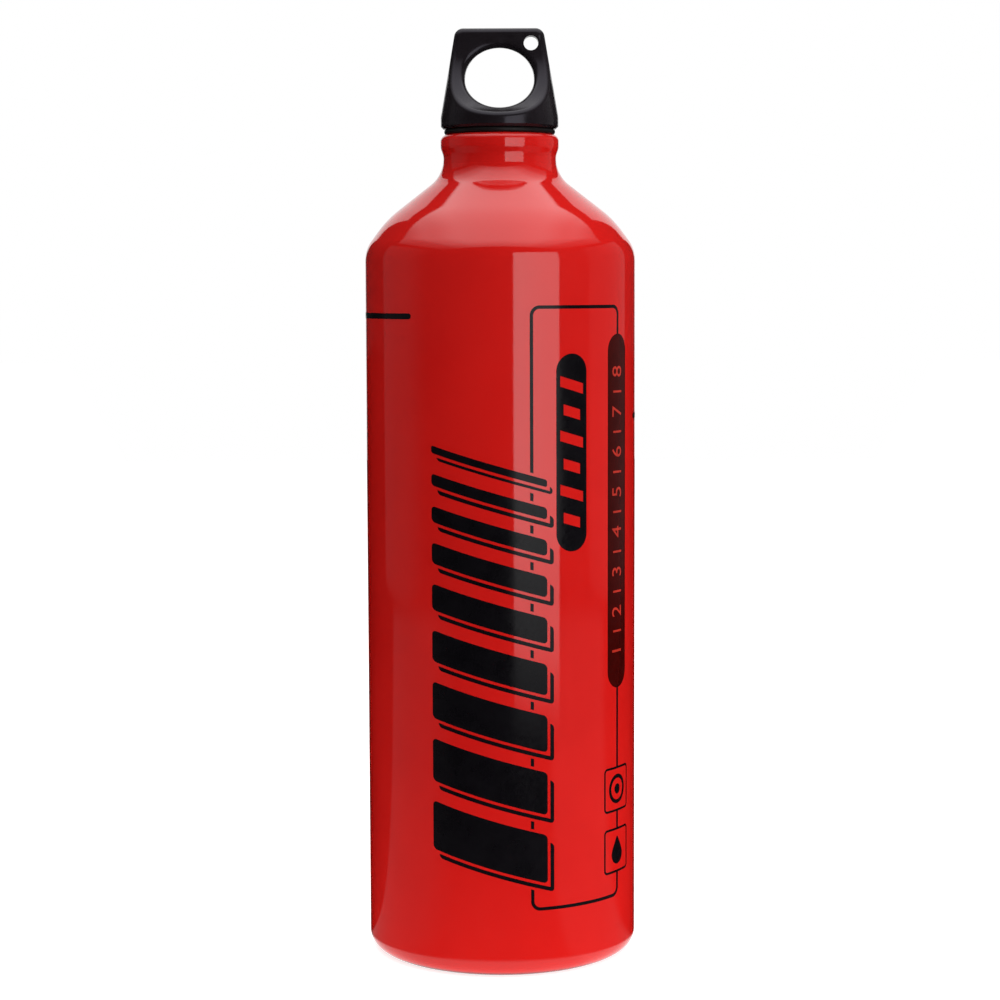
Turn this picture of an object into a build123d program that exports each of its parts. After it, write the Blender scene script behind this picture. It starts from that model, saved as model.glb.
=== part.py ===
from build123d import *

import os
from math import cos, radians, sqrt, tan

# A one-piece aluminium fuel bottle closed by a moulded screw stopper with a handle loop.
# The foot stands on z = 0, the axis is Z, and the handle's plate faces -Y and +Y.
# Lengths are in millimetres, angles in degrees.

# Shell, outside
body_diameter = 90.0
shell_height = 273.5
foot_corner_radius = 5.7
standing_ring_width = 3.0
dome_depth = 7.0
dome_edge_radius = 4.0

# Shoulder: two straight slopes, measured up from level, that meet part of the way in
lower_slope = 53.5
upper_slope = 37.8
slope_meeting_share = 0.28
shoulder_start_radius = 11.6
slope_blend_radius = 36.0

# Neck, outside, with its heights counted down from the rim
neck_diameter = 37.5
neck_root_below_rim = 13.2
neck_root_radius = 10.8
bead_proud = 0.9
bead_straight = 4.4
bead_underside = 2.5
waist_radius = 5.0
bead_shoulder_radius = 4.5
rim_outer_radius = 2.2
rim_bevel = 0.6

# Shell, inside
body_wall = 1.1
base_wall = 1.8
shoulder_wall = 2.0
neck_wall = 4.25
throat_radius = 4.0

# Seal: a flat rubber ring between the rim and the flange, squeezed a little proud at its edge
seal_thickness = 1.85
seal_inset = 1.25
seal_bulge = 0.7
seal_clearance = 0.3

# Plug below the flange; the gap between plug and bore is the room for the thread's ridges
thread_gap = 2.0
collar_clearance = 0.7
collar_length = 3.4
plug_length = 17.85
plug_wall = 2.9
plug_bevel = 0.8
plug_roof = 4.2

# Flange and handle, with heights counted up from the flange's underside
flange_inset = 0.15
flange_band = 3.95
flange_bevel = 0.8
flange_taper_radius = 8.0
handle_height = 33.05
handle_top_width = 29.0
handle_top_radius = 3.0
handle_thickness = 4.6
handle_straight = 2.1
handle_edge_radius = 2.0

# Finger hole: what the handle keeps above, below and beside it
loop_top_bar = 6.4
loop_floor = 6.1
loop_side_bar = 5.9
loop_edge_radius = 2.0

# Lanyard hole: its centre is set from the handle's top and from its slanted side
lanyard_hole_diameter = 4.84
lanyard_hole_below_top = 5.0
lanyard_hole_inset = 4.92

# How far a cutting tool runs past what it cuts
overrun = 5.0

# Radii and heights that several pieces share
neck_radius = neck_diameter / 2
bead_radius = neck_radius + bead_proud
bore_radius = neck_radius - neck_wall
collar_radius = bore_radius - collar_clearance
plug_radius = bore_radius - thread_gap
flange_radius = bead_radius - flange_inset
dome_radius = body_diameter / 2 - foot_corner_radius - standing_ring_width
flange_foot = shell_height + seal_thickness


def section(*points):
    """Places (radius, height) pairs in the XZ plane."""
    return [(r, 0, z) for r, z in points]


def slope(angle):
    """Rise over run of an angle measured up from level."""
    return tan(radians(angle))


def tangent_lengths(points, roundings):
    """How much of its two runs each corner's rounding takes up, with none at the two ends."""
    lengths = [0]
    for before, corner, after, rounding in zip(points, points[1:], points[2:], roundings[1:-1]):
        turn = (Vector(corner) - Vector(before)).get_angle(Vector(after) - Vector(corner))
        lengths.append(rounding * slope(turn / 2))
    return lengths + [0]


def filleted_line(corners):
    """One line through (radius, height, rounding) corners; a rounding gives way where its runs are short."""
    points = section(*[(r, z) for r, z, rounding in corners])
    roundings = [rounding for r, z, rounding in corners]
    taken = tangent_lengths(points, roundings)
    for i in range(len(points) - 1):
        run = (Vector(points[i + 1]) - Vector(points[i])).length
        spare = run / max(taken[i] + taken[i + 1], run)
        roundings[i] *= spare
        roundings[i + 1] *= spare
    return FilletPolyline(*points, radius=roundings[1:-1])


def turned(corners):
    """The solid whose section is a line from axis to axis, or round from its first corner to its last."""
    points = section(*[(r, z) for r, z, rounding in corners])
    closing = Line(points[-1], points[0])
    return revolve(make_face(Curve() + [filleted_line(corners), closing]), axis=Axis.Z)


def dome_arc(foot):
    """A shallow arc from the axis, where it is level, down to the dome's edge."""
    sphere_radius = (dome_radius**2 + dome_depth**2) / (2 * dome_depth)
    half_r = dome_radius / 2
    half_z = foot + dome_depth - sphere_radius + sqrt(sphere_radius**2 - half_r**2)
    return ThreePointArc(*section((0, foot + dome_depth), (half_r, half_z), (dome_radius, foot)))


def shoulder_corners():
    """Radius and height of the shoulder's three outer corners, from the body up to the neck."""
    body_r = body_diameter / 2
    meeting_r = body_r - slope_meeting_share * (body_r - neck_radius)
    root_z = shell_height - neck_root_below_rim
    meeting_z = root_z - (meeting_r - neck_radius) * slope(upper_slope)
    start_z = meeting_z - (body_r - meeting_r) * slope(lower_slope)
    return (body_r, start_z), (meeting_r, meeting_z), (neck_radius, root_z)


def shell_outside():
    """Corners of the shell's outer line, from the edge of the base dome up to the mouth."""
    start, meeting, root = shoulder_corners()
    bead_z = shell_height - bead_straight
    return [
        (dome_radius, 0, 0),
        (body_diameter / 2, 0, foot_corner_radius),
        (*start, shoulder_start_radius),
        (*meeting, slope_blend_radius),
        (*root, neck_root_radius),
        (neck_radius, bead_z - bead_underside, waist_radius),
        (bead_radius, bead_z, bead_shoulder_radius),
        (bead_radius, shell_height, rim_outer_radius),
        (bore_radius + rim_bevel, shell_height, 0),
        (bore_radius, shell_height - rim_bevel, 0),
    ]


def shell_inside():
    """Corners of the shell's inner line, from the bottom of the bore down to the edge of the dome."""
    start, meeting, root = shoulder_corners()
    body_r = start[0] - body_wall
    upper_wall = shoulder_wall / cos(radians(upper_slope))
    lower_wall = body_wall / cos(radians(lower_slope))
    throat_z = root[1] - upper_wall + (neck_radius - bore_radius) * slope(upper_slope)
    meeting_r = meeting[0] + (upper_wall - lower_wall) / (slope(lower_slope) - slope(upper_slope))
    meeting_z = throat_z - (meeting_r - bore_radius) * slope(upper_slope)
    return [
        (bore_radius, throat_z, throat_radius),
        (meeting_r, meeting_z, slope_blend_radius),
        (body_r, meeting_z - (body_r - meeting_r) * slope(lower_slope), shoulder_start_radius),
        (body_r, base_wall, foot_corner_radius - body_wall),
        (dome_radius, base_wall, 0),
    ]


def bottle_shell():
    """The whole aluminium shell, turned from the section of its wall."""
    walls = filleted_line(shell_outside() + shell_inside())
    axis_end = Line(*section((0, dome_depth), (0, dome_depth + base_wall)))
    wall = make_face(Curve() + [dome_arc(0), walls, dome_arc(base_wall), axis_end])
    for foot in (0, base_wall):
        dome_edge = Vector(dome_radius, 0, foot)
        corner = wall.vertices().sort_by_distance(dome_edge)[0]
        wall = fillet(corner, radius=dome_edge_radius)
    return revolve(wall, axis=Axis.Z)


def cap_seal():
    """The flat rubber ring on the rim, whose outer edge bulges under the flange's load."""
    inner_r = collar_radius + seal_clearance
    outer_r = bead_radius - seal_inset
    flat_r = outer_r - seal_bulge
    top_edge, top_hole = (flat_r, flange_foot), (inner_r, flange_foot)
    rim_hole, rim_edge = (inner_r, shell_height), (flat_r, shell_height)
    middle = (outer_r, shell_height + seal_thickness / 2)
    flat_sides = Polyline(*section(top_edge, top_hole, rim_hole, rim_edge))
    bulge = ThreePointArc(*section(rim_edge, middle, top_edge))
    return revolve(make_face(Curve() + [flat_sides, bulge]), axis=Axis.Z)


def side_radius(height):
    """How far the handle's slanted side is from the axis at a height above the flange's underside."""
    top_r = handle_top_width / 2
    return top_r + (flange_radius - top_r) * (handle_height - height) / (handle_height - flange_band)


def handle_blank():
    """The flange and the tapered cone above it, before the flanks are scooped."""
    corners = [
        (0, flange_foot, 0),
        (flange_radius - flange_bevel, flange_foot, 0),
        (flange_radius, flange_foot + flange_bevel, 0),
        (flange_radius, flange_foot + flange_band, flange_taper_radius),
        (side_radius(handle_height), flange_foot + handle_height, handle_top_radius),
        (0, flange_foot + handle_height, 0),
    ]
    return turned(corners)


def flank_scoop(side):
    """What is scooped from one flank: a round hollow that runs up into the plate's straight face."""
    half_plate = handle_thickness / 2
    sweep_out = flange_radius - half_plate
    sweep_rise = handle_height - handle_straight - flange_band
    sweep_radius = (sweep_out**2 + sweep_rise**2) / (2 * sweep_out)
    centre_y = side * (half_plate + sweep_radius)
    centre_z = flange_foot + handle_height - handle_straight
    across = 2 * (flange_radius + overrun)
    above = handle_straight + overrun
    hollow = Pos(0, centre_y, centre_z) * Rot(0, 90, 0) * Cylinder(sweep_radius, across)
    face_cut = Pos(0, centre_y, centre_z + above / 2) * Box(across, 2 * sweep_radius, above)
    return hollow + face_cut


def hole_cutter(centre_x, height, outline):
    """A cutter along Y with the given outline, centred at a height above the flange's underside."""
    reach = flange_radius + overrun
    plane = Plane(origin=(centre_x, reach, flange_foot + height), x_dir=(1, 0, 0), z_dir=(0, -1, 0))
    return extrude(plane * outline, amount=2 * reach)


def handle():
    """The flange with its handle loop: a cone scooped on both flanks and pierced by an oval."""
    loop = handle_blank()
    for side in (-1, 1):
        loop -= flank_scoop(side)
    above_band = flange_foot + flange_band / 2
    outer_edges = loop.edges().filter_by(lambda edge: edge.center().Z > above_band)
    loop = fillet(outer_edges, radius=handle_edge_radius)

    oval_height = handle_height - loop_top_bar - loop_floor
    oval_centre = loop_floor + oval_height / 2
    oval = Ellipse(side_radius(oval_centre) - loop_side_bar, oval_height / 2)
    loop -= hole_cutter(0, oval_centre, oval)
    oval_wall = loop.faces().filter_by(GeomType.EXTRUSION)
    oval_edges = oval_wall.edges().filter_by(GeomType.LINE, reverse=True)
    loop = fillet(oval_edges, radius=loop_edge_radius)

    lanyard_height = handle_height - lanyard_hole_below_top
    lanyard_x = side_radius(lanyard_height) - lanyard_hole_inset
    return loop - hole_cutter(lanyard_x, lanyard_height, Circle(lanyard_hole_diameter / 2))


def plug():
    """The collar that carries the seal and the plug that carries the thread, hollow from below."""
    bottom = flange_foot - plug_length
    collar_z = flange_foot - collar_length
    hollow_r = plug_radius - plug_wall
    roof = flange_foot + loop_floor - plug_roof
    corners = [
        (hollow_r, roof, 0),
        (hollow_r, bottom, 0),
        (plug_radius - plug_bevel, bottom, 0),
        (plug_radius, bottom + plug_bevel, 0),
        (plug_radius, collar_z - (collar_radius - plug_radius), 0),
        (collar_radius, collar_z, 0),
        (collar_radius, roof, 0),
    ]
    return turned(corners)


def screw_cap():
    """The moulded stopper: handle loop and flange, with the hollow of the plug running up into them."""
    hollow_r = plug_radius - plug_wall
    roof = flange_foot + loop_floor - plug_roof
    recess = [(0, flange_foot, 0), (hollow_r, flange_foot, 0), (hollow_r, roof, 0), (0, roof, 0)]
    return handle() - turned(recess) + plug()


def main():
    os.makedirs("parts", exist_ok=True)
    pieces = {
        "bottle_shell": bottle_shell(),
        "cap_seal": cap_seal(),
        "screw_cap": screw_cap(),
    }
    for name, piece in pieces.items():
        export_step(piece, f"parts/{name}.step")


main()
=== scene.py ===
"""The finish of a camping fuel bottle: lacquered shell, threads, print, seal and stopper."""

from math import acos, ceil, cos, pi, radians, sin, tan

import bmesh
import bpy
from bpy.props import FloatProperty, FloatVectorProperty, IntProperty, PointerProperty
from mathutils import Matrix, Vector


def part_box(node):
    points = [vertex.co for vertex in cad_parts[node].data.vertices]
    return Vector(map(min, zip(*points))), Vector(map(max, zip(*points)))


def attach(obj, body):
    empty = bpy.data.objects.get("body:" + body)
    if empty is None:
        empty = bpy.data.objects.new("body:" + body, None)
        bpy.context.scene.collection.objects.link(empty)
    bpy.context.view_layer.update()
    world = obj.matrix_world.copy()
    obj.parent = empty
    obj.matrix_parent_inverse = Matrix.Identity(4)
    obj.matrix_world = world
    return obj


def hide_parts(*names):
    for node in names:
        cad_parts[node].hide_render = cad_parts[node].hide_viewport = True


bl_info = {
    "name": "Camping Fuel Bottle",
    "version": (1, 0, 0),
    "blender": (4, 5, 0),
    "location": "3D View > Sidebar > Bottle",
    "description": "Makes a fuel bottle's shell, threads, print and stopper, and its studio",
    "category": "Object",
}

MM = 0.001
SAME_PLACE = 1e-7  # metres between two points that count as one

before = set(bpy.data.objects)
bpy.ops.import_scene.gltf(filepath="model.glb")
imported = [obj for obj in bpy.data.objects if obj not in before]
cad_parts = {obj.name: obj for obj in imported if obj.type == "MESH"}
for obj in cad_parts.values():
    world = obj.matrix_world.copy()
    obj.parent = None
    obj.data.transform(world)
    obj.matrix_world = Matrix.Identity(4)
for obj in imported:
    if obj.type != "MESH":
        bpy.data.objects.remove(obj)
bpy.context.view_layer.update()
shell_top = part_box("bottle_shell")[1]


# Settings


def mm(name, description, millimetres):
    """A length that a user can change, given in millimetres and held in metres."""
    return FloatProperty(
        name=name, description=description, default=millimetres * MM, unit="LENGTH", precision=5
    )


def angle(name, description, degrees):
    """An angle that a user can change."""
    return FloatProperty(
        name=name, description=description, default=radians(degrees), unit="ROTATION"
    )


def share(name, description, default):
    """A share between nothing and one that a user can change."""
    return FloatProperty(
        name=name, description=description, default=default, min=0, max=1, subtype="FACTOR"
    )


def number(name, description, default):
    """A plain number that a user can change."""
    return FloatProperty(name=name, description=description, default=default)


def colour(name, description, red, green, blue):
    """A surface colour that a user can change."""
    return FloatVectorProperty(
        name=name,
        description=description,
        default=(red, green, blue),
        min=0,
        max=1,
        subtype="COLOR",
    )


class ShellSizes(bpy.types.PropertyGroup):
    """Sizes of the aluminium shell."""

    body_radius: mm("Body radius", "Outside radius of the straight body", shell_top.x / MM)
    rim_height: mm("Rim height", "Height of the rim above the standing ring", shell_top.z / MM)
    ink_step: mm("Ink step", "How far the lacquer lies under the print's face", 0.03)
    foot_rounding: mm("Foot rounding", "Radius of the corner at the foot", 5.7)
    ring_width: mm("Standing ring", "Width of the flat ring the bottle stands on", 3.0)
    dome_depth: mm("Dome depth", "How far the base is domed in", 7.0)
    dome_rounding: mm("Dome rounding", "Radius between the dome and the ring", 4.0)
    lower_slope: angle("Lower slope", "Slope of the shoulder's lower cone", 53.5)
    upper_slope: angle("Upper slope", "Slope of the shoulder's upper cone", 37.8)
    meeting_share: share("Slopes meet", "How far in from the body the two cones meet", 0.28)
    shoulder_rounding: mm("Shoulder rounding", "Radius where the shoulder starts", 11.6)
    slope_rounding: mm("Slope rounding", "Radius where the two cones meet", 36.0)
    neck_radius: mm("Neck radius", "Outside radius of the neck", 18.75)
    neck_root: mm("Neck root", "Depth of the neck's root below the rim", 13.2)
    root_rounding: mm("Root rounding", "Radius at the neck's root", 10.8)
    bead_proud: mm("Bead", "How far the rim's bead stands out from the neck", 0.9)
    bead_straight: mm("Bead height", "Height of the bead's upright band", 4.4)
    bead_underside: mm("Bead underside", "Height of the slope under the bead", 2.5)
    bead_rounding: mm("Bead rounding", "Radius at the bead's lower edge", 4.5)
    waist_rounding: mm("Waist rounding", "Radius between the neck and that slope", 5.0)
    rim_rounding: mm("Rim rounding", "Radius of the rim's outer edge", 2.2)
    rim_bevel: mm("Rim bevel", "Bevel at the mouth", 0.6)
    bore_radius: mm("Bore radius", "Inside radius of the neck", 14.5)
    throat_rounding: mm("Throat rounding", "Radius where the bore opens into the body", 4.0)
    body_wall: mm("Body wall", "Thickness of the body's wall", 1.1)
    base_wall: mm("Base wall", "Thickness of the base", 1.8)
    shoulder_wall: mm("Shoulder wall", "Thickness of the upper shoulder", 2.0)
    groove_height: mm("Groove height", "Height of the fine turned line on the neck", 263.7)
    groove_width: mm("Groove width", "Width of the fine turned line", 0.6)
    groove_depth: mm("Groove depth", "Depth of the fine turned line", 0.05)
    turn_steps: IntProperty(
        name="Steps round", description="Faces round the shell", default=256, min=64, max=360
    )


class ThreadSizes(bpy.types.PropertyGroup):
    """Sizes of the thread in the neck and on the plug."""

    pitch: mm("Pitch", "Rise of the thread in one turn", 3.0)
    neck_crest: mm("Neck crest", "Radius of the neck thread's crest", 13.2)
    neck_foot: mm("Neck thread foot", "Height where the neck thread starts", 264.3)
    neck_turns: number("Neck turns", "Turns of thread in the neck", 2.1)
    plug_core: mm("Plug core", "Radius of the plug under its thread", 12.5)
    plug_crest: mm("Plug crest", "Radius of the plug thread's crest", 13.9)
    plug_foot: mm("Plug thread foot", "Height where the plug's thread starts", 259.8)
    plug_turns: number("Plug turns", "Turns of thread on the plug", 3.1)
    root_width: mm("Root width", "Width of a ridge at its root", 1.5)
    crest_width: mm("Crest width", "Width of a ridge at its crest", 0.75)
    crest_rounding: mm("Crest rounding", "Radius of the crest's edges", 0.22)
    overlap: mm("Overlap", "How deep a ridge is set into its wall", 0.1)


class PrintSizes(bpy.types.PropertyGroup):
    """Places and sizes of the print, round the body from the front and up from the foot."""

    ink_depth: mm("Ink depth", "Thickness of a printed sheet", 0.05)
    line_width: mm("Line", "Width of the frame's line", 1.1)
    line_clearance: mm("Clearance", "How far the line stops short of bars and squares", 0.9)
    frame_corner: mm("Frame corner", "Radius of the frame's corners", 3.2)
    frame_left: mm("Frame left", "Where the frame's left line runs", 9.9)
    frame_right: mm("Frame right", "Where the frame's right line runs", 45.3)
    frame_bottom: mm("Frame bottom", "Height of the frame's bottom line", 22.8)
    frame_top: mm("Frame top", "Height of the frame's top line", 216.9)
    bars_left: mm("Bars left", "Where the slanted bars start", -23.3)
    bars_right: mm("Bars right", "Where the slanted bars end", 15.0)
    bars_bottom: mm("Bars bottom", "Height of the lowest bar's lower end", 31.0)
    bars_top: mm("Bars top", "Height of the highest bar's upper end", 173.0)
    bars_slant: angle("Slant", "How far the bars fall away to the right", 16.0)
    bar_gap: mm("Bar gap", "Space between two bars", 6.6)
    shadow_gap: mm("Shadow gap", "Space between a bar and its shadow line", 0.95)
    shadow_width: mm("Shadow width", "Width of a bar's shadow line", 1.3)
    tick_pill_bottom: mm("Tick pill bottom", "Foot of the black pill", 138.7)
    tick_pill_top: mm("Tick pill top", "Top of the black pill", 202.1)
    tick_pill_middle: mm("Tick pill middle", "Where the black pill stands", 23.9)
    scale_pill_bottom: mm("Scale bottom", "Foot of the long pill", 92.0)
    scale_pill_top: mm("Scale top", "Top of the long pill", 208.1)
    pill_width: mm("Pill width", "Width of both pills", 11.4)
    square_side: mm("Square side", "Side of the two outlined squares", 15.0)
    upper_square: mm("Upper square", "Height of the upper square's middle", 58.2)
    lower_square: mm("Lower square", "Height of the lower square's middle", 37.7)
    level_width: mm("Level width", "Thickness of both level lines", 1.85)


class FinishColours(bpy.types.PropertyGroup):
    """Colours of the finishes, and the gloss of the print."""

    lacquer: colour("Lacquer", "Red enamel", 0.68, 0.0125, 0.0100)
    lacquer_deep: colour("Deep lacquer", "Red enamel where it lies thicker", 0.63, 0.0100, 0.0082)
    aluminium: colour("Aluminium", "Bare aluminium", 0.78, 0.78, 0.77)
    ink: colour("Ink", "Black screen print", 0.0033, 0.0028, 0.0038)
    scale_ink: colour("Scale ink", "Maroon screen print of the long pill", 0.037, 0.0009, 0.0005)
    numbers: colour("Numbers", "Dull red of the scale's numbers", 0.42, 0.022, 0.012)
    ink_gloss: share("Ink gloss", "How much the black print reflects", 0.17)
    scale_gloss: share("Scale gloss", "How much the long pill reflects", 0.13)
    number_gloss: share("Number gloss", "How much the scale's numbers reflect", 0.3)
    rubber: colour("Rubber", "Seal", 0.0070, 0.0052, 0.0054)
    plastic: colour("Plastic", "Stopper", 0.0100, 0.0078, 0.0094)


class StudioSizes(bpy.types.PropertyGroup):
    """Camera and lamps."""

    camera_distance: mm("Camera distance", "Distance from the axis", 791.92)
    camera_height: mm("Camera height", "Height above the floor", 224.29)
    camera_tilt: angle("Camera tilt", "Angle down from level", 5.241)
    camera_roll: angle("Camera roll", "Turn about the line of sight", -0.206)
    lens: number("Lens", "Focal length in millimetres", 85.0)
    floor_colour: colour("Floor", "Pale floor round the bottle", 0.80, 0.80, 0.80)
    floor_glow: share("Floor glow", "How bright the camera sees the floor by itself", 0.80)
    fill: share("Fill", "Light that comes from all round", 0.07)


class BottleSettings(bpy.types.PropertyGroup):
    """Everything a user can change."""

    shell: PointerProperty(type=ShellSizes, name="Shell", description="Sizes of the shell")
    thread: PointerProperty(type=ThreadSizes, name="Thread", description="Sizes of the thread")
    printing: PointerProperty(type=PrintSizes, name="Print", description="Places of the print")
    colours: PointerProperty(type=FinishColours, name="Colours", description="Finish colours")
    studio: PointerProperty(type=StudioSizes, name="Studio", description="Camera and lamps")


# Drawing and turning profiles


def verts_in(items):
    """The vertices among a bmesh's items."""
    return [item for item in items if isinstance(item, bmesh.types.BMVert)]


def faces_in(items):
    """The faces among a bmesh's items."""
    return [item for item in items if isinstance(item, bmesh.types.BMFace)]


def draw_to(bm, tip, radius, height, hold=1.0 * MM):
    """Draws a straight edge on from the tip; short edges hold the ends of a long one crisp."""
    start = tip.co.copy()
    end = Vector((radius, 0, height))
    run = end - start
    stops = [end]
    if run.length > 6 * hold:
        step = run.normalized() * hold
        stops = [start + step, end - step, end]
    for stop in stops:
        if (stop - tip.co).length > SAME_PLACE:
            tip = bmesh.ops.extrude_vert_indiv(bm, verts=[tip])["verts"][0]
            tip.co = stop
    return tip


def draw_arc(bm, tip, centre, sweep, step=radians(3)):
    """Draws an arc on from the tip, round a centre in the XZ plane."""
    steps = max(2, ceil(abs(sweep) / step))
    drawn = bmesh.ops.spin(
        bm, geom=[tip], cent=centre, axis=(0, 1, 0), angle=sweep, steps=steps, use_duplicate=False
    )
    return drawn["geom_last"][0]


def draw_corners(bm, tip, corners):
    """Draws on through (radius, height, rounding) corners; a rounding gives way in a short run."""
    points = [tip.co.copy()] + [Vector((radius, 0, height)) for radius, height, rounding in corners]
    roundings = [0] + [rounding for radius, height, rounding in corners]
    runs = [after - before for before, after in zip(points, points[1:])]
    halves = [tan(before.angle(after) / 2) for before, after in zip(runs, runs[1:])]
    taken = [rounding * half for rounding, half in zip(roundings, [0, *halves, 0])]
    for i, run in enumerate(runs):
        spare = run.length / max(taken[i] + taken[i + 1], run.length)
        roundings[i] *= spare
        roundings[i + 1] *= spare
    for i, half in enumerate(halves, 1):
        arrive, leave = runs[i - 1].normalized(), runs[i].normalized()
        start = points[i] - arrive * roundings[i] * half
        tip = draw_to(bm, tip, start.x, start.z)
        if roundings[i]:
            axis = arrive.cross(leave).normalized()
            centre = tip.co + roundings[i] * axis.cross(arrive)
            turn = arrive.angle(leave)
            tip = draw_arc(bm, tip, centre, turn if axis.y > 0 else -turn)
    return draw_to(bm, tip, points[-1].x, points[-1].z)


def turn_round(bm, drawn, steps):
    """Turns a drawn line once round the Z axis and returns the new faces."""
    before = set(bm.faces)
    bmesh.ops.spin(
        bm,
        geom=drawn,
        cent=(0, 0, 0),
        axis=(0, 0, 1),
        angle=2 * pi,
        steps=steps,
        use_merge=True,
        use_duplicate=False,
    )
    return [face for face in bm.faces if face not in before]


def round_corners(bm, verts, radius, steps):
    """Rounds a flat face's corners at some of its vertices."""
    bmesh.ops.bevel(
        bm,
        geom=verts,
        offset=radius,
        affect="VERTICES",
        segments=steps,
        profile=0.5,
        clamp_overlap=False,
        material=-1,
    )


def finish_mesh(bm, name, materials, crisp=radians(24)):
    """Closes a bmesh into an object whose edges above an angle stay sharp."""
    bmesh.ops.remove_doubles(bm, verts=bm.verts, dist=SAME_PLACE)
    bmesh.ops.recalc_face_normals(bm, faces=bm.faces)
    for face in bm.faces:
        face.smooth = True
    for edge in bm.edges:
        if len(edge.link_faces) == 2 and edge.calc_face_angle() > crisp:
            edge.smooth = False
    mesh = bpy.data.meshes.new(name)
    bm.to_mesh(mesh)
    bm.free()
    for material in materials:
        mesh.materials.append(material)
    piece = bpy.data.objects.new(name, mesh)
    bpy.context.scene.collection.objects.link(piece)
    return piece


# The shell


def dome_start(bm, size, foot):
    """Draws the domed base from the axis out to the standing ring, at a height of its foot."""
    edge = size.body_radius - size.foot_rounding - size.ring_width
    sphere = (edge**2 + size.dome_depth**2) / (2 * size.dome_depth)
    reach = sphere + size.dome_rounding
    rise = sphere - size.dome_depth + size.dome_rounding
    sweep = acos(rise / reach)
    tip = bm.verts.new((0, 0, foot + size.dome_depth))
    tip = draw_arc(bm, tip, (0, 0, foot + size.dome_depth - sphere), sweep)
    ring_edge = reach * sin(sweep)
    return draw_arc(bm, tip, (ring_edge, 0, foot + size.dome_rounding), -sweep)


def shoulder_points(size):
    """Height where the shoulder starts, radius and height where its cones meet, and its top."""
    meeting = size.body_radius - size.meeting_share * (size.body_radius - size.neck_radius)
    root = size.rim_height - size.neck_root
    meeting_height = root - (meeting - size.neck_radius) * tan(size.upper_slope)
    start_height = meeting_height - (size.body_radius - meeting) * tan(size.lower_slope)
    return start_height, meeting, meeting_height, root


def draw_outside(bm, size):
    """Draws the outer line from the dome up to the mouth."""
    start, meeting, meeting_height, root = shoulder_points(size)
    body = size.body_radius - size.ink_step
    bead = size.neck_radius + size.bead_proud
    bead_height = size.rim_height - size.bead_straight
    tip = dome_start(bm, size, 0)
    corners = [
        (body, 0, size.foot_rounding),
        (body, start, size.shoulder_rounding),
        (meeting, meeting_height, size.slope_rounding),
        (size.neck_radius, root, size.root_rounding),
        (size.neck_radius, bead_height - size.bead_underside, size.waist_rounding),
        (bead, bead_height, size.bead_rounding),
        (bead, size.rim_height, size.rim_rounding),
        (size.bore_radius + size.rim_bevel, size.rim_height, 0),
    ]
    draw_corners(bm, tip, corners)


def draw_inside(bm, size):
    """Draws the inner line from the dome up to the mouth."""
    _, meeting, _, root = shoulder_points(size)
    body = size.body_radius - size.body_wall
    upper = size.shoulder_wall / cos(size.upper_slope)
    lower = size.body_wall / cos(size.lower_slope)
    upper_rise, lower_rise = tan(size.upper_slope), tan(size.lower_slope)
    throat = root - upper + (size.neck_radius - size.bore_radius) * upper_rise
    inner_meeting = meeting + (upper - lower) / (lower_rise - upper_rise)
    inner_height = throat - (inner_meeting - size.bore_radius) * upper_rise
    tip = dome_start(bm, size, size.base_wall)
    corners = [
        (body, size.base_wall, size.foot_rounding - size.body_wall),
        (body, inner_height - (body - inner_meeting) * lower_rise, size.shoulder_rounding),
        (inner_meeting, inner_height, size.slope_rounding),
        (size.bore_radius, throat, size.throat_rounding),
        (size.bore_radius, size.rim_height - size.rim_bevel, 0),
        (size.bore_radius + size.rim_bevel, size.rim_height, 0),
    ]
    draw_corners(bm, tip, corners)


def cut_neck_line(bm, size, faces):
    """Cuts the fine turned line into the outside of the neck."""
    root = size.rim_height - size.neck_root
    for rise in (-0.5, 0, 0.5):
        near = [face for face in faces if face.calc_center_median().z > root]
        verts = {vert for face in near for vert in face.verts}
        edges = {edge for face in near for edge in face.edges}
        level = size.groove_height + rise * size.groove_width
        cut = bmesh.ops.bisect_plane(
            bm, geom=[*verts, *edges, *near], plane_co=(0, 0, level), plane_no=(0, 0, 1)
        )
        faces = faces_in(cut["geom"])
        if rise == 0:
            ring = verts_in(cut["geom_cut"])
            ring_radius = ring[0].co.xy.length
    shrink = (ring_radius - size.groove_depth) / ring_radius
    bmesh.ops.scale(bm, vec=(shrink, shrink, 1), verts=ring)


def make_shell(size, lacquer, bare):
    """The one-piece shell, lacquered outside and bare inside."""
    bm = bmesh.new()
    draw_outside(bm, size)
    outside = turn_round(bm, [*bm.verts, *bm.edges], size.turn_steps)
    cut_neck_line(bm, size, outside)
    kept = {*bm.verts, *bm.edges}
    draw_inside(bm, size)
    drawn = [item for item in [*bm.verts, *bm.edges] if item not in kept]
    for face in turn_round(bm, drawn, size.turn_steps):
        face.material_index = 1
    return finish_mesh(bm, "shell_body", [lacquer, bare])


# The threads


def run_out(bm, face, core, pitch, turn):
    """Tapers a ridge's end away in three steps into the wall it stands on."""
    for height_left in (0.8, 0.5, 0.15):
        width_left = 0.4 + 0.6 * height_left
        grown = bmesh.ops.extrude_face_region(bm, geom=[face])["geom"]
        verts = verts_in(grown)
        bm.faces.remove(face)
        face = faces_in(grown)[0]
        bmesh.ops.rotate(bm, verts=verts, cent=(0, 0, 0), matrix=Matrix.Rotation(turn, 3, "Z"))
        bmesh.ops.translate(bm, verts=verts, vec=(0, 0, pitch * turn / (2 * pi)))
        for vert in verts:
            out = vert.co.xy.length
            vert.co.xy *= (core + (out - core) * height_left) / out
        middle = sum(vert.co.z for vert in verts) / len(verts)
        for vert in verts:
            vert.co.z = middle + (vert.co.z - middle) * width_left


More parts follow.
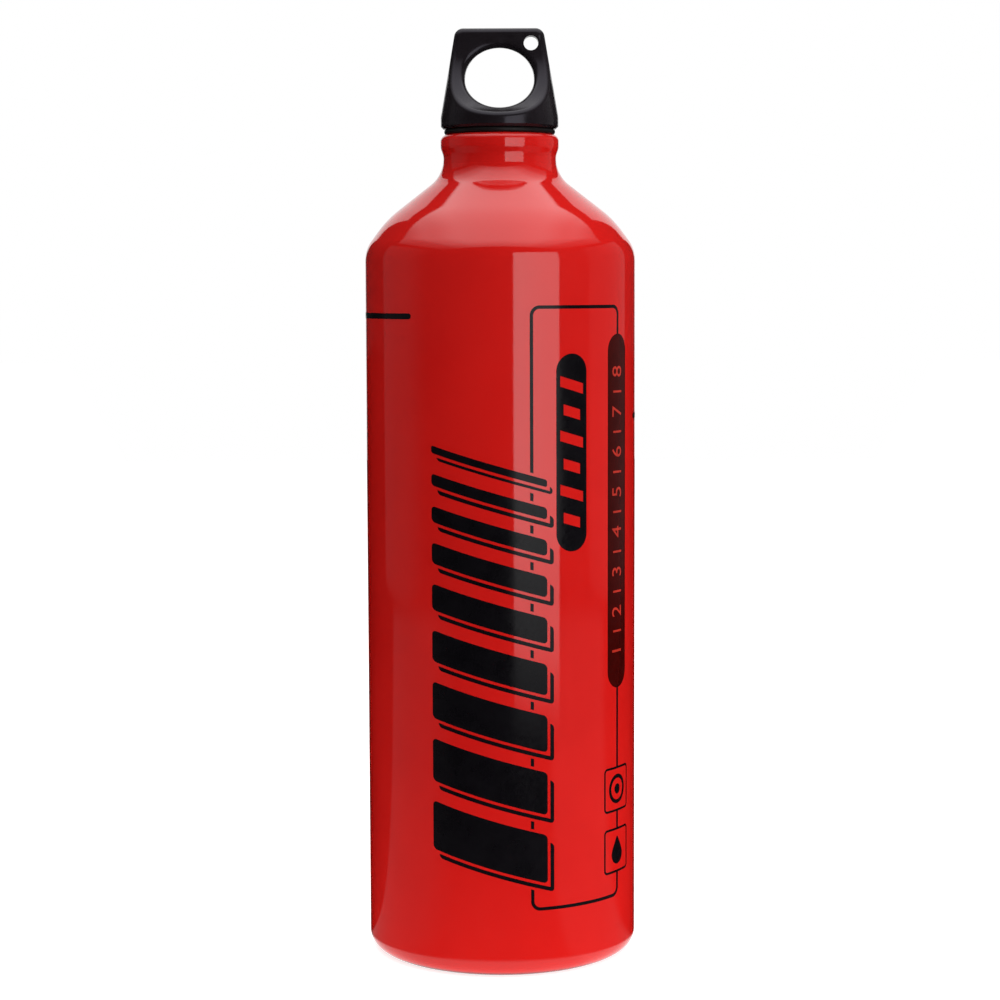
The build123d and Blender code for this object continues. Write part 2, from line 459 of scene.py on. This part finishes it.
def make_ridge(name, size, core, crest, foot, turns, material):
    """One thread ridge swept up a right-hand helix, with both ends running out."""
    turn_steps, end_step = 64, radians(9)
    bm = bmesh.new()
    half_root, half_crest = size.root_width / 2, size.crest_width / 2
    outline = [(core, -half_root), (crest, -half_crest), (crest, half_crest), (core, half_root)]
    verts = [bm.verts.new((radius, 0, foot + height)) for radius, height in outline]
    bm.faces.new(verts)
    round_corners(bm, verts[1:3], size.crest_rounding, 3)
    start = max(bm.faces, key=lambda face: face.calc_area())
    steps = round(turns * turn_steps)
    swept = bmesh.ops.spin(
        bm,
        geom=[start, *start.edges, *start.verts],
        cent=(0, 0, 0),
        axis=(0, 0, 1),
        dvec=(0, 0, size.pitch * turns / steps),
        angle=2 * pi * turns,
        steps=steps,
        use_merge=False,
        use_duplicate=False,
    )
    run_out(bm, faces_in(swept["geom_last"])[0], core, size.pitch, end_step)
    run_out(bm, start, core, size.pitch, -end_step)
    return finish_mesh(bm, name, [material], crisp=radians(50))


# The print


def flat_panel(left, right, bottom, top, corner, steps=8):
    """A flat sheet with rounded corners, facing the front."""
    bm = bmesh.new()
    upright = Matrix.Rotation(pi / 2, 4, "X")
    bmesh.ops.create_grid(bm, x_segments=1, y_segments=1, size=0.5, matrix=upright)
    bmesh.ops.scale(bm, vec=(right - left, 1, top - bottom), verts=bm.verts)
    bmesh.ops.translate(bm, vec=((left + right) / 2, 0, (bottom + top) / 2), verts=bm.verts)
    round_corners(bm, bm.verts, corner, steps)
    bmesh.ops.remove_doubles(bm, verts=bm.verts, dist=SAME_PLACE)
    return bm


def hollow_out(bm, width):
    """Leaves only a line of a given width along a sheet's edge."""
    bmesh.ops.inset_region(
        bm, faces=bm.faces, thickness=width, use_boundary=True, use_even_offset=True
    )
    inner = max(bm.faces, key=lambda face: face.calc_area())
    bmesh.ops.delete(bm, geom=[inner], context="FACES")


def split_at(bm, point, normal):
    """Splits a flat sheet along a line, without parting it."""
    whole = [*bm.verts, *bm.edges, *bm.faces]
    bmesh.ops.bisect_plane(bm, geom=whole, plane_co=point, plane_no=normal)


def clear_window(bm, left, right, bottom, top, fall=0):
    """Cuts a window out of a flat sheet; its top and bottom fall away to the right by a slope."""
    split_at(bm, (left, 0, 0), (1, 0, 0))
    split_at(bm, (right, 0, 0), (1, 0, 0))
    middle = (left + right) / 2
    for height in (bottom, top):
        split_at(bm, (middle, 0, height), (fall, 0, 1))
    inside = []
    for face in bm.faces:
        centre = face.calc_center_median()
        level = centre.z + fall * (centre.x - middle)
        if left < centre.x < right and bottom < level < top:
            inside.append(face)
    bmesh.ops.delete(bm, geom=inside, context="FACES")


def join_sheets(sheets):
    """Brings several flat sheets together into one."""
    whole = bmesh.new()
    for sheet in sheets:
        carrier = bpy.data.meshes.new("carrier")
        sheet.to_mesh(carrier)
        sheet.free()
        whole.from_mesh(carrier)
        bpy.data.meshes.remove(carrier)
    return whole


def wrap_print(bm, name, body_radius, face_radius, depth, material):
    """Bends a flat sheet round the body as a thin closed print, shaded as round as the body."""
    column = 1.0 * MM
    reaches = [vert.co.x for vert in bm.verts]
    at = ceil(min(reaches) / column) * column
    while at < max(reaches):
        split_at(bm, (at, 0, 0), (1, 0, 0))
        at += column
    back = verts_in(bmesh.ops.extrude_face_region(bm, geom=bm.faces)["geom"])
    bmesh.ops.translate(bm, vec=(0, depth, 0), verts=back)
    for vert in bm.verts:
        turn = vert.co.x / body_radius
        out = face_radius - vert.co.y
        vert.co = (out * sin(turn), -out * cos(turn), vert.co.z)
    piece = finish_mesh(bm, name, [material])
    normals = [Vector((vert.co.x, vert.co.y, 0)).normalized() for vert in piece.data.vertices]
    piece.data.normals_split_custom_set_from_vertices(normals)
    return piece


def frame_line(size):
    """The thin rounded frame, broken where the bars, the squares and the long pill cross it."""
    half = size.line_width / 2
    sheet = flat_panel(
        size.frame_left - half,
        size.frame_right + half,
        size.frame_bottom - half,
        size.frame_top + half,
        size.frame_corner,
    )
    hollow_out(sheet, size.line_width)
    clear = size.line_clearance
    left_line = size.frame_left - half - clear, size.frame_left + half + clear
    right_line = size.frame_right - half - clear, size.frame_right + half + clear
    fall = tan(size.bars_slant)
    drop = fall * (size.frame_left - (size.bars_left + size.bars_right) / 2)
    under = size.shadow_gap + size.shadow_width + clear
    for bottom, top in bar_levels(size):
        clear_window(sheet, *left_line, bottom - drop - under, top - drop + clear, fall)
    reach = size.square_side / 2
    for level in (size.upper_square, size.lower_square):
        clear_window(sheet, *right_line, level - reach, level + reach)
    clear_window(sheet, *right_line, size.scale_pill_bottom + half, size.scale_pill_top - half)
    return sheet


def bar_levels(size):
    """Lowest and highest level of each slanted bar at mid width, thick bars below thin ones."""
    weights = [16.0, 14.0, 12.0, 10.2, 8.5, 6.8, 5.2, 3.8, 2.4]
    fall = tan(size.bars_slant) * (size.bars_right - size.bars_left)
    room = size.bars_top - size.bars_bottom - fall - (len(weights) - 1) * size.bar_gap
    level = size.bars_bottom + fall / 2
    levels = []
    for weight in weights:
        thickness = room * weight / sum(weights)
        levels.append((level, level + thickness))
        level += thickness + size.bar_gap
    return levels


def bar_sheet(size, bottom, top):
    """One heavy bar, not slanted yet."""
    rounding = min(1.4 * MM, 0.3 * (top - bottom))
    return flat_panel(size.bars_left, size.bars_right, bottom, top, rounding, 5)


def shadow_sheet(size, bottom, top):
    """A thin line under and beside one bar, not slanted yet, as if the bar threw a shadow."""
    corner = 1.2 * MM
    out = size.shadow_gap + min(size.shadow_width, 0.4 * (top - bottom))
    left, right = size.bars_left, size.bars_right
    sheet = flat_panel(left + out, right + out, bottom - out, top - out, corner, 5)
    clear_window(sheet, left - out, right + size.shadow_gap, bottom - size.shadow_gap, top + out)
    return sheet


def slanted_sheets(size, make_sheet):
    """A sheet for each bar, made to fall away to the right about the middle of the bars."""
    middle = (size.bars_left + size.bars_right) / 2
    sheets = [make_sheet(size, bottom, top) for bottom, top in bar_levels(size)]
    for sheet in sheets:
        for vert in sheet.verts:
            vert.co.z -= tan(size.bars_slant) * (vert.co.x - middle)
    return join_sheets(sheets)


def pill(size, middle, bottom, top):
    """An upright sheet with round ends."""
    half = size.pill_width / 2
    return flat_panel(middle - half, middle + half, bottom, top, half, 12)


def scale_pill(size):
    """The long maroon pill, on the frame's right line."""
    return pill(size, size.frame_right, size.scale_pill_bottom, size.scale_pill_top)


def pill_levels(size, bottom, top, count):
    """Levels that share out the room between a pill's round ends."""
    room = top - bottom - size.pill_width
    return [bottom + size.pill_width / 2 + room * (i + 0.5) / count for i in range(count)]


def tick_pill(size):
    """The black pill, with slanted ticks, short and long in turn, that leave the lacquer bare."""
    middle, bottom, top = size.tick_pill_middle, size.tick_pill_bottom, size.tick_pill_top
    ticks, half, fall = 6, 1.7 * MM, 0.29
    sheet = pill(size, middle, bottom, top)
    for i, level in enumerate(pill_levels(size, bottom, top, ticks)):
        reach = (4.3 if i % 2 else 3.1) * MM
        clear_window(sheet, middle - reach, middle + reach, level - half, level + half, fall)
    return sheet


def number_sheet(words):
    """A flat plain number that reads upwards, centred on the origin and facing the front."""
    curve = bpy.data.curves.new("number", "FONT")
    curve.body = words
    curve.size = 8.2 * MM
    curve.resolution_u = 3
    curve.align_x, curve.align_y = "CENTER", "CENTER"
    holder = bpy.data.objects.new("number", curve)
    mesh = bpy.data.meshes.new_from_object(holder)
    sheet = bmesh.new()
    sheet.from_mesh(mesh)
    upright = Matrix.Rotation(pi / 2, 3, "X") @ Matrix.Rotation(pi / 2, 3, "Z")
    bmesh.ops.rotate(sheet, verts=sheet.verts, cent=(0, 0, 0), matrix=upright)
    bpy.data.objects.remove(holder)
    bpy.data.curves.remove(curve)
    bpy.data.meshes.remove(mesh)
    return sheet


def scale_numbers(size):
    """Plain numbers up the long pill, with a short tick between each two."""
    count, reach, half, corner = 8, 2.6 * MM, 0.35 * MM, 0.2 * MM
    middle = size.frame_right
    levels = pill_levels(size, size.scale_pill_bottom, size.scale_pill_top, count)
    left, right = middle - reach, middle + reach
    sheets = []
    for below, above in zip(levels, levels[1:]):
        tick = (below + above) / 2
        sheets.append(flat_panel(left, right, tick - half, tick + half, corner, 3))
    for i, level in enumerate(levels, 1):
        number = number_sheet(str(i))
        bmesh.ops.translate(number, vec=(middle, 0, level), verts=number.verts)
        sheets.append(number)
    return join_sheets(sheets)


def disc_sheet(middle, level, radius):
    """A flat round spot, facing the front."""
    sheet = bmesh.new()
    bmesh.ops.create_circle(
        sheet, cap_ends=True, segments=48, radius=radius, matrix=Matrix.Rotation(pi / 2, 4, "X")
    )
    bmesh.ops.translate(sheet, vec=(middle, 0, level), verts=sheet.verts)
    return sheet


def drop_sheet(middle, level):
    """A flat drop: a disc whose upper half is drawn out to a tip."""
    radius, sink, stretch, pinch = 3.4 * MM, 1.3 * MM, 0.75, 0.62
    drop = disc_sheet(0, 0, radius)
    for vert in drop.verts:
        if vert.co.z > 0:
            lift = vert.co.z / radius
            vert.co.z *= 1 + stretch * lift
            vert.co.x *= 1 - pinch * lift**2
    bmesh.ops.translate(drop, vec=(middle, 0, level - sink), verts=drop.verts)
    return drop


def square_marks(size):
    """Two outlined squares, with a ring and a dot in the upper one and a drop in the lower one."""
    middle, half = size.frame_right, size.square_side / 2
    corner, line = 1.6 * MM, 0.75 * MM
    ring_radius, ring_line, dot_radius = 4.9 * MM, 1.3 * MM, 1.7 * MM
    sheets = []
    for level in (size.upper_square, size.lower_square):
        sheet = flat_panel(middle - half, middle + half, level - half, level + half, corner)
        hollow_out(sheet, line)
        sheets.append(sheet)
    ring = disc_sheet(middle, size.upper_square, ring_radius)
    hollow_out(ring, ring_line)
    dot = disc_sheet(middle, size.upper_square, dot_radius)
    return join_sheets([*sheets, ring, dot, drop_sheet(middle, size.lower_square)])


def level_lines(size):
    """The thick level line on the left and the short one that starts at the right edge."""
    half = size.level_width / 2
    sheets = []
    for start, end, height in ((-80, -31.1, 214), (59.6, 92, 180.7)):
        bottom, top = height * MM - half, height * MM + half
        sheets.append(flat_panel(start * MM, end * MM, bottom, top, half))
    return join_sheets(sheets)


# Finishes


class Wiring:
    """Adds nodes to a node tree; an input is a number, a colour or another node's output."""

    def __init__(self, tree):
        self.nodes = tree.nodes
        self.links = tree.links

    def feed(self, node, inputs):
        """Sets or links some of a node's inputs."""
        for socket, value in inputs.items():
            if isinstance(value, bpy.types.NodeSocket):
                self.links.new(value, node.inputs[socket])
            else:
                node.inputs[socket].default_value = value

    def add(self, kind, inputs, output=0, **settings):
        """Adds a node and returns one of its outputs."""
        node = self.nodes.new(kind)
        for name, value in settings.items():
            setattr(node, name, value)
        self.feed(node, inputs)
        return node.outputs[output]

    def maths(self, operation, *values):
        """The result of a sum, a product or the like."""
        return self.add("ShaderNodeMath", dict(enumerate(values)), operation=operation)

    def ramp(self, value, stops, interpolation):
        """Grey levels that a value reads from stops of (place, level)."""
        grey = self.add("ShaderNodeValToRGB", {"Fac": value}, "Color")
        band = grey.node.color_ramp
        band.interpolation = interpolation
        while len(band.elements) < len(stops):
            band.elements.new(0.5)
        for element, (at, level) in zip(band.elements, stops):
            element.position = at
            element.color = (level, level, level, 1)
        return grey


class Finish(Wiring):
    """One node material and the few things every finish here needs."""

    def __init__(self, name):
        self.material = bpy.data.materials.new(name)
        self.material.use_nodes = True
        super().__init__(self.material.node_tree)
        self.place = self.add("ShaderNodeTexCoord", {}, "Object")

    def stretched(self, across, up):
        """Object coordinates stretched across and up."""
        inputs = {"Vector": self.place, "Scale": (across, across, up)}
        return self.add("ShaderNodeMapping", inputs, "Vector")

    def grain(self, scale, detail, place=None):
        """Soft random grain."""
        inputs = {"Vector": place or self.place, "Scale": scale, "Detail": detail}
        return self.add("ShaderNodeTexNoise", inputs, "Fac")

    def between(self, grain, low, high):
        """A grain spread between two numbers."""
        inputs = {"Value": grain, "From Min": 0.3, "From Max": 0.7, "To Min": low, "To Max": high}
        return self.add("ShaderNodeMapRange", inputs, "Result")

    def blended(self, grain, one, other):
        """A colour that goes from one to another with a grain."""
        inputs = {"Factor": self.between(grain, 0, 1), "A": (*one, 1), "B": (*other, 1)}
        return self.add("ShaderNodeMix", inputs, "Result", data_type="RGBA")

    def relief(self, grain, depth, under=None):
        """Raises the surface where a grain is high, over another relief if there is one."""
        inputs = {"Height": grain, "Strength": 1.0, "Distance": depth}
        if under is not None:
            inputs["Normal"] = under
        return self.add("ShaderNodeBump", inputs, "Normal")

    def lacquer_relief(self):
        """Fine orange peel over the long soft ripple that drawing leaves in the wall."""
        ripple = self.relief(self.grain(1.0, 1.0, self.stretched(55, 9)), 0.05 * MM)
        return self.relief(self.grain(1100, 1.0), 0.0012 * MM, ripple)

    def wear(self, colour, roughness, normal, shine):
        """Feeds the shader and returns the material."""
        inputs = {"Base Color": colour, "Roughness": roughness, "Normal": normal, **shine}
        self.feed(self.nodes["Principled BSDF"], inputs)
        return self.material


def lacquer_finish(colours):
    """Gloss red enamel, baked on, a shade deeper where it lies thicker."""
    finish = Finish("red_lacquer")
    tone = finish.blended(finish.grain(26, 3.0), colours.lacquer, colours.lacquer_deep)
    roughness = finish.between(finish.grain(420, 3.0), 0.045, 0.085)
    return finish.wear(tone, roughness, finish.lacquer_relief(), {"IOR": 1.5})


def ink_finish(name, tone, gloss):
    """Screen-print ink: flatter than the lacquer, with its faint cloudiness."""
    finish = Finish(name)
    lighter = [min(1, 1.35 * part + 0.0008) for part in tone]
    cloudy = finish.blended(finish.grain(150, 4.0), tone, lighter)
    roughness = finish.between(finish.grain(700, 3.0), 0.13, 0.24)
    shine = {"IOR": 1.45, "Specular IOR Level": gloss}
    return finish.wear(cloudy, roughness, finish.lacquer_relief(), shine)


def bare_finish(colours):
    """Bare drawn aluminium with fine lines round it."""
    finish = Finish("raw_aluminium")
    rings = finish.grain(1.0, 3.0, finish.stretched(60, 2600))
    darker = [0.86 * part for part in colours.aluminium]
    tone = finish.blended(rings, colours.aluminium, darker)
    roughness = finish.between(rings, 0.26, 0.42)
    return finish.wear(tone, roughness, finish.relief(rings, 0.006 * MM), {"Metallic": 1.0})


def rubber_finish(colours):
    """Matt black rubber with a dusty bloom."""
    finish = Finish("black_rubber")
    dusty = [1.8 * part for part in colours.rubber]
    tone = finish.blended(finish.grain(320, 4.0), colours.rubber, dusty)
    roughness = finish.between(finish.grain(900, 2.0), 0.36, 0.52)
    grain = finish.relief(finish.grain(2400, 2.0), 0.01 * MM)
    return finish.wear(tone, roughness, grain, {"IOR": 1.3})


def plastic_finish(colours):
    """Black moulded plastic, glossy with a faint flow of the melt."""
    finish = Finish("black_plastic")
    paler = [1.3 * part for part in colours.plastic]
    flow = finish.grain(1.0, 3.0, finish.stretched(60, 160))
    tone = finish.blended(flow, colours.plastic, paler)
    roughness = finish.between(finish.grain(300, 4.0), 0.14, 0.26)
    sink = finish.relief(finish.grain(95, 1.0), 0.02 * MM)
    grain = finish.relief(finish.grain(1500, 2.0), 0.0015 * MM, sink)
    shine = {"IOR": 1.33, "Specular Tint": (0.88, 0.85, 1, 1)}
    return finish.wear(tone, roughness, grain, shine)


# The studio


def soft_lamp(name, place, aim, size, radiance, diffuse=True, glossy=True):
    """A rectangular soft lamp of a given brightness, which the camera doesn't see."""
    lamp = bpy.data.lights.new(name, "AREA")
    lamp.shape = "RECTANGLE"
    lamp.size, lamp.size_y = size
    lamp.energy = radiance * size[0] * size[1] * pi
    holder = bpy.data.objects.new(name, lamp)
    holder.location = place
    holder.rotation_euler = (Vector(aim) - Vector(place)).to_track_quat("-Z", "Y").to_euler()
    holder.visible_camera = False
    holder.visible_diffuse = diffuse
    holder.visible_glossy = glossy
    bpy.context.scene.collection.objects.link(holder)
    return lamp


def fade_lamp(lamp, across, up):
    """Lets a lamp's brightness follow curves of (place, brightness) across and up its face."""
    lamp.use_nodes = True
    tree = Wiring(lamp.node_tree)
    face = tree.add("ShaderNodeNewGeometry", {}, "Parametric")
    levels = []
    for axis, stops in (("X", across), ("Y", up)):
        place = tree.add("ShaderNodeSeparateXYZ", {0: face}, axis)
        levels.append(tree.ramp(place, stops, "EASE"))
    tree.feed(tree.nodes["Emission"], {"Strength": tree.maths("MULTIPLY", *levels)})


def side_lamp(name, azimuth, distance, height, aim, size, radiance, **rays):
    """A soft lamp aimed at the axis, in metres, with its azimuth in degrees right of the front."""
    turn = radians(azimuth)
    place = distance * sin(turn), -distance * cos(turn), height
    return soft_lamp(name, place, (0, 0, aim), size, radiance, **rays)


def make_lamps():
    """The right-hand strip, the overhead lamp, the glow of the table and the faint side panels."""
    strip = side_lamp("strip_mirrored", 29.2, 0.46, 0.20, 0.20, (0.318, 0.42), 2.5, diffuse=False)
    fade_lamp(strip, [(0, 1), (1, 0.85)], [(0, 0), (0.18, 0.8), (0.3, 1), (1, 1)])
    side_lamp("strip_light", 31, 0.48, 0.16, 0.14, (0.32, 0.40), 1.0, glossy=False)
    over = soft_lamp("overhead", (0, -0.30, 1.25), (0, -0.30, 0), (3.0, 1.9), 2.25)
    left_half = [(0, 0.1), (0.13, 0.2), (0.24, 0.6), (0.36, 1)]
    right_half = [(0.64, 1), (0.76, 0.6), (0.87, 0.2), (1, 0.1)]
    to_front = [(0, 0), (0.12, 0.5), (0.4, 0.95), (0.6, 1), (0.97, 1), (1, 0.5)]
    fade_lamp(over, left_half + right_half, to_front)
    upwards = [(0, 0), (0.3, 1), (1, 1)]
    left = side_lamp("panel_left", -88, 0.9, 0.25, 0.15, (0.95, 0.9), 0.13, diffuse=False)
    fade_lamp(left, [(0, 0), (0.02, 1), (0.5, 1), (1, 0)], upwards)
    right = side_lamp("panel_right", 104, 0.9, 0.25, 0.15, (0.86, 0.9), 0.24, diffuse=False)
    fade_lamp(right, [(0, 0.5), (1, 1)], upwards)
    side_lamp("fill_right", 70, 0.9, 0.3, 0.15, (0.8, 0.9), 1.6, glossy=False)
    table = soft_lamp("table_glow", (0, 0, 0.0015), (0, 0, 1), (0.28, 0.28), 0.65, glossy=False)
    table.shape = "DISK"


def make_world(fill):
    """White where the camera looks past the stage, and an even fill elsewhere."""
    world = bpy.data.worlds.new("studio")
    world.use_nodes = True
    bpy.context.scene.world = world
    tree = Wiring(world.node_tree)
    lit = tree.add("ShaderNodeLightPath", {}, "Is Diffuse Ray")
    seen = tree.add("ShaderNodeLightPath", {}, "Is Camera Ray")
    least = 0.02
    strength = tree.maths("MULTIPLY_ADD", lit, fill, tree.maths("MAXIMUM", seen, least))
    tree.feed(tree.nodes["Background"], {"Color": (1, 1, 1, 1), "Strength": strength})


def ramp_from_foot(tree, near, far, at_near, at_far, ahead=0):
    """A number that goes smoothly to another from near the foot, or ahead of it, to farther out."""
    place = tree.add("ShaderNodeTexCoord", {}, "Object")
    moved = tree.add("ShaderNodeMapping", {"Vector": place, "Location": (0, ahead, 0)}, "Vector")
    away = tree.add("ShaderNodeVectorMath", {0: moved}, "Value", operation="LENGTH")
    inputs = {"Value": away, "From Min": near, "From Max": far, "To Min": at_near, "To Max": at_far}
    return tree.add("ShaderNodeMapRange", inputs, "Result", interpolation_type="SMOOTHSTEP")


def bands_round_the_axis(tree, stops):
    """Levels read from stops by the direction from the axis, in degrees right of the front."""
    place = tree.add("ShaderNodeTexCoord", {}, "Object")
    right = tree.add("ShaderNodeSeparateXYZ", {0: place}, "X")
    back = tree.add("ShaderNodeSeparateXYZ", {0: place}, "Y")
    turn = tree.maths("ARCTAN2", right, tree.maths("MULTIPLY", back, -1))
    inputs = {"Value": turn, "From Min": -pi, "From Max": pi}
    share_round = tree.add("ShaderNodeMapRange", inputs, "Result")
    places = [(degrees_right / 360 + 0.5, level) for degrees_right, level in stops]
    return tree.ramp(share_round, places, "LINEAR")


def stage_material(name):
    """A material for the stage without a shader yet, and its wiring."""
    material = bpy.data.materials.new(name)
    material.use_nodes = True
    tree = Wiring(material.node_tree)
    tree.nodes.remove(tree.nodes["Principled BSDF"])
    return material, tree


def floor_finish(studio):
    """Pale matt floor that the camera sees as white, with the bottle's soft shadow on it. Glossy
    rays don't see the lit floor: they see painted reflections, faint pale bands to either side out
    to a reach and a bright ring round the foot.
    """
    material, tree = stage_material("pale_floor_painted_reflections")
    seen = tree.add("ShaderNodeLightPath", {}, "Is Camera Ray")
    mirrored = tree.add("ShaderNodeLightPath", {}, "Is Glossy Ray")
    matt = tree.add("ShaderNodeBsdfDiffuse", {"Color": (*studio.floor_colour, 1)})
    white = ramp_from_foot(tree, near=0.12, far=0.9, at_near=studio.floor_glow, at_far=1)
    glow = tree.add("ShaderNodeEmission", {"Strength": tree.maths("MULTIPLY", white, seen)})
    both = tree.add("ShaderNodeAddShader", {0: matt, 1: glow})
    # Painted reflections: faint pale bands to either side of the bottle that only glossy rays see,
    # so the lacquer's lower sides mirror them.
    left_painted_reflections = [(-104, 0), (-102.5, 0.17), (-60, 0.13), (-38, 0)]
    right_painted_reflections = [(38, 0), (43, 0.16), (90, 0.14), (98, 0)]
    painted_reflection_bands = bands_round_the_axis(tree, left_painted_reflections + right_painted_reflections)
    reach = ramp_from_foot(tree, near=0.80, far=0.95, at_near=1, at_far=0)
    # Painted reflection: a bright ring round the foot, set a little ahead of it, that only glossy
    # rays see, so the foot's rounded corner mirrors a pale band.
    foot = ramp_from_foot(tree, near=0.048, far=0.055, at_near=1, at_far=0, ahead=0.013)
    level = tree.maths("MULTIPLY_ADD", painted_reflection_bands, reach, foot)
    painted_reflection = tree.add("ShaderNodeEmission", {"Strength": level})
    # Glossy rays see only this painted reflection glow, never the lit floor.
    surface = tree.add("ShaderNodeMixShader", {"Fac": mirrored, 1: both, 2: painted_reflection})
    tree.feed(tree.nodes["Material Output"], {"Surface": surface})
    return material


def backdrop_finish():
    """White sheet that the camera and reflections see, and that lights nothing."""
    material, tree = stage_material("white_backdrop")
    seen = tree.add("ShaderNodeLightPath", {}, "Is Camera Ray")
    mirrored = tree.add("ShaderNodeLightPath", {}, "Is Glossy Ray")
    glow = tree.add("ShaderNodeEmission", {"Strength": tree.maths("MAXIMUM", seen, mirrored)})
    tree.feed(tree.nodes["Material Output"], {"Surface": glow})
    return material


def stage_sheet(name, width, far_width, depth, matrix, material):
    """A flat stage sheet, with a width of its own at its far edge."""
    bm = bmesh.new()
    bmesh.ops.create_grid(bm, x_segments=1, y_segments=1, size=0.5)
    bmesh.ops.scale(bm, vec=(width, depth, 1), verts=bm.verts)
    far_edge = [vert for vert in bm.verts if vert.co.y > 0]
    bmesh.ops.scale(bm, vec=(far_width / width, 1, 1), verts=far_edge)
    bmesh.ops.transform(bm, matrix=matrix, verts=bm.verts)
    finish_mesh(bm, name, [material])


def make_camera(studio):
    """The camera at the photograph's angle."""
    camera = bpy.data.cameras.new("camera")
    camera.lens = studio.lens
    camera.sensor_width = 36
    camera.shift_x, camera.shift_y = -0.00097, 0.00036
    camera.clip_start = 10 * MM
    holder = bpy.data.objects.new("camera", camera)
    holder.location = (0, -studio.camera_distance, studio.camera_height)
    tilt = Matrix.Rotation(pi / 2 - studio.camera_tilt, 3, "X")
    roll = Matrix.Rotation(studio.camera_roll, 3, "Z")
    holder.rotation_euler = (tilt @ roll).to_euler()
    bpy.context.scene.collection.objects.link(holder)
    bpy.context.scene.camera = holder


# Operators


class MakeShell(bpy.types.Operator):
    """Make the lacquered shell and the thread in its neck"""

    bl_idname = "fuel_bottle.make_shell"
    bl_label = "Shell"

    def execute(self, context):
        settings = context.scene.fuel_bottle
        size, thread = settings.shell, settings.thread
        lacquer = lacquer_finish(settings.colours)
        bare = bare_finish(settings.colours)
        shell = make_shell(size, lacquer, bare)
        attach(shell, "bottle")
        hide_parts("bottle_shell")
        ridge = make_ridge(
            "neck_thread",
            thread,
            size.bore_radius + thread.overlap,
            thread.neck_crest,
            thread.neck_foot,
            thread.neck_turns,
            bare,
        )
        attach(ridge, "bottle")
        return {"FINISHED"}


class MakeStopper(bpy.types.Operator):
    """Finish the seal and the stopper, and make the thread on its plug"""

    bl_idname = "fuel_bottle.make_stopper"
    bl_label = "Seal and stopper"

    def execute(self, context):
        settings = context.scene.fuel_bottle
        thread = settings.thread
        rubber = rubber_finish(settings.colours)
        plastic = plastic_finish(settings.colours)
        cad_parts["cap_seal"].material_slots[0].material = rubber
        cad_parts["screw_cap"].material_slots[0].material = plastic
        ridge = make_ridge(
            "plug_thread",
            thread,
            thread.plug_core - thread.overlap,
            thread.plug_crest,
            thread.plug_foot,
            thread.plug_turns,
            plastic,
        )
        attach(ridge, "stopper")
        return {"FINISHED"}


class MakePrint(bpy.types.Operator):
    """Print the frame, bars, pills, squares and level lines on the body"""

    bl_idname = "fuel_bottle.make_print"
    bl_label = "Print"

    def execute(self, context):
        settings = context.scene.fuel_bottle
        size, colours = settings.printing, settings.colours
        body = settings.shell.body_radius
        ink = ink_finish("black_ink", colours.ink, colours.ink_gloss)
        maroon = ink_finish("maroon_ink", colours.scale_ink, colours.scale_gloss)
        dull_red = ink_finish("number_red", colours.numbers, colours.number_gloss)
        under = 0.01 * MM  # for the sheets that others are printed over
        sheets = [
            ("print_frame", frame_line(size), ink, under),
            ("print_bars", slanted_sheets(size, bar_sheet), ink, 0),
            ("print_bar_shadows", slanted_sheets(size, shadow_sheet), ink, 0),
            ("print_tick_pill", tick_pill(size), ink, 0),
            ("print_scale_pill", scale_pill(size), maroon, under),
            ("print_scale_numbers", scale_numbers(size), dull_red, 0),
            ("print_squares", square_marks(size), ink, 0),
            ("print_level_lines", level_lines(size), ink, 0),
        ]
        for name, sheet, material, sunk in sheets:
            piece = wrap_print(sheet, name, body, body - sunk, size.ink_depth, material)
            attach(piece, "bottle")
        return {"FINISHED"}


class SetStage(bpy.types.Operator):
    """Set up the floor, backdrop, lamps, world and camera"""

    bl_idname = "fuel_bottle.set_stage"
    bl_label = "Stage"

    def execute(self, context):
        studio = context.scene.fuel_bottle.studio
        side = 12
        stage_sheet("floor", side, side, side, Matrix.Identity(4), floor_finish(studio))
        foot_width, top_width, height = 0.6, 3.7, 2.64
        upright = Matrix.Translation((0, 2.2, 1.02)) @ Matrix.Rotation(pi / 2, 4, "X")
        stage_sheet("backdrop", foot_width, top_width, height, upright, backdrop_finish())
        make_lamps()
        make_world(studio.fill)
        make_camera(studio)
        context.scene.view_settings.view_transform = "Standard"
        return {"FINISHED"}


class BottlePanel(bpy.types.Panel):
    """Makes the bottle and its stage piece by piece"""

    bl_idname = "FUELBOTTLE_PT_panel"
    bl_label = "Fuel Bottle"
    bl_space_type = "VIEW_3D"
    bl_region_type = "UI"
    bl_category = "Bottle"

    def draw(self, context):
        for operator in OPERATORS:
            self.layout.operator(operator.bl_idname)
        for part in ("shell", "thread", "printing", "colours", "studio"):
            group = getattr(context.scene.fuel_bottle, part)
            box = self.layout.box()
            for name in group.bl_rna.properties.keys():
                if name not in ("rna_type", "name"):
                    box.prop(group, name)


SETTINGS = (ShellSizes, ThreadSizes, PrintSizes, FinishColours, StudioSizes, BottleSettings)
OPERATORS = (MakeShell, MakeStopper, MakePrint, SetStage)


def register():
    for item in (*SETTINGS, *OPERATORS, BottlePanel):
        bpy.utils.register_class(item)
    bpy.types.Scene.fuel_bottle = PointerProperty(
        type=BottleSettings, name="Fuel bottle", description="Sizes, colours and studio"
    )


def unregister():
    del bpy.types.Scene.fuel_bottle
    for item in reversed((*SETTINGS, *OPERATORS, BottlePanel)):
        bpy.utils.unregister_class(item)


def main():
    register()
    bpy.ops.fuel_bottle.make_shell()
    bpy.ops.fuel_bottle.make_stopper()
    bpy.ops.fuel_bottle.make_print()
    bpy.ops.fuel_bottle.set_stage()


if __name__ == "__main__":
    main()
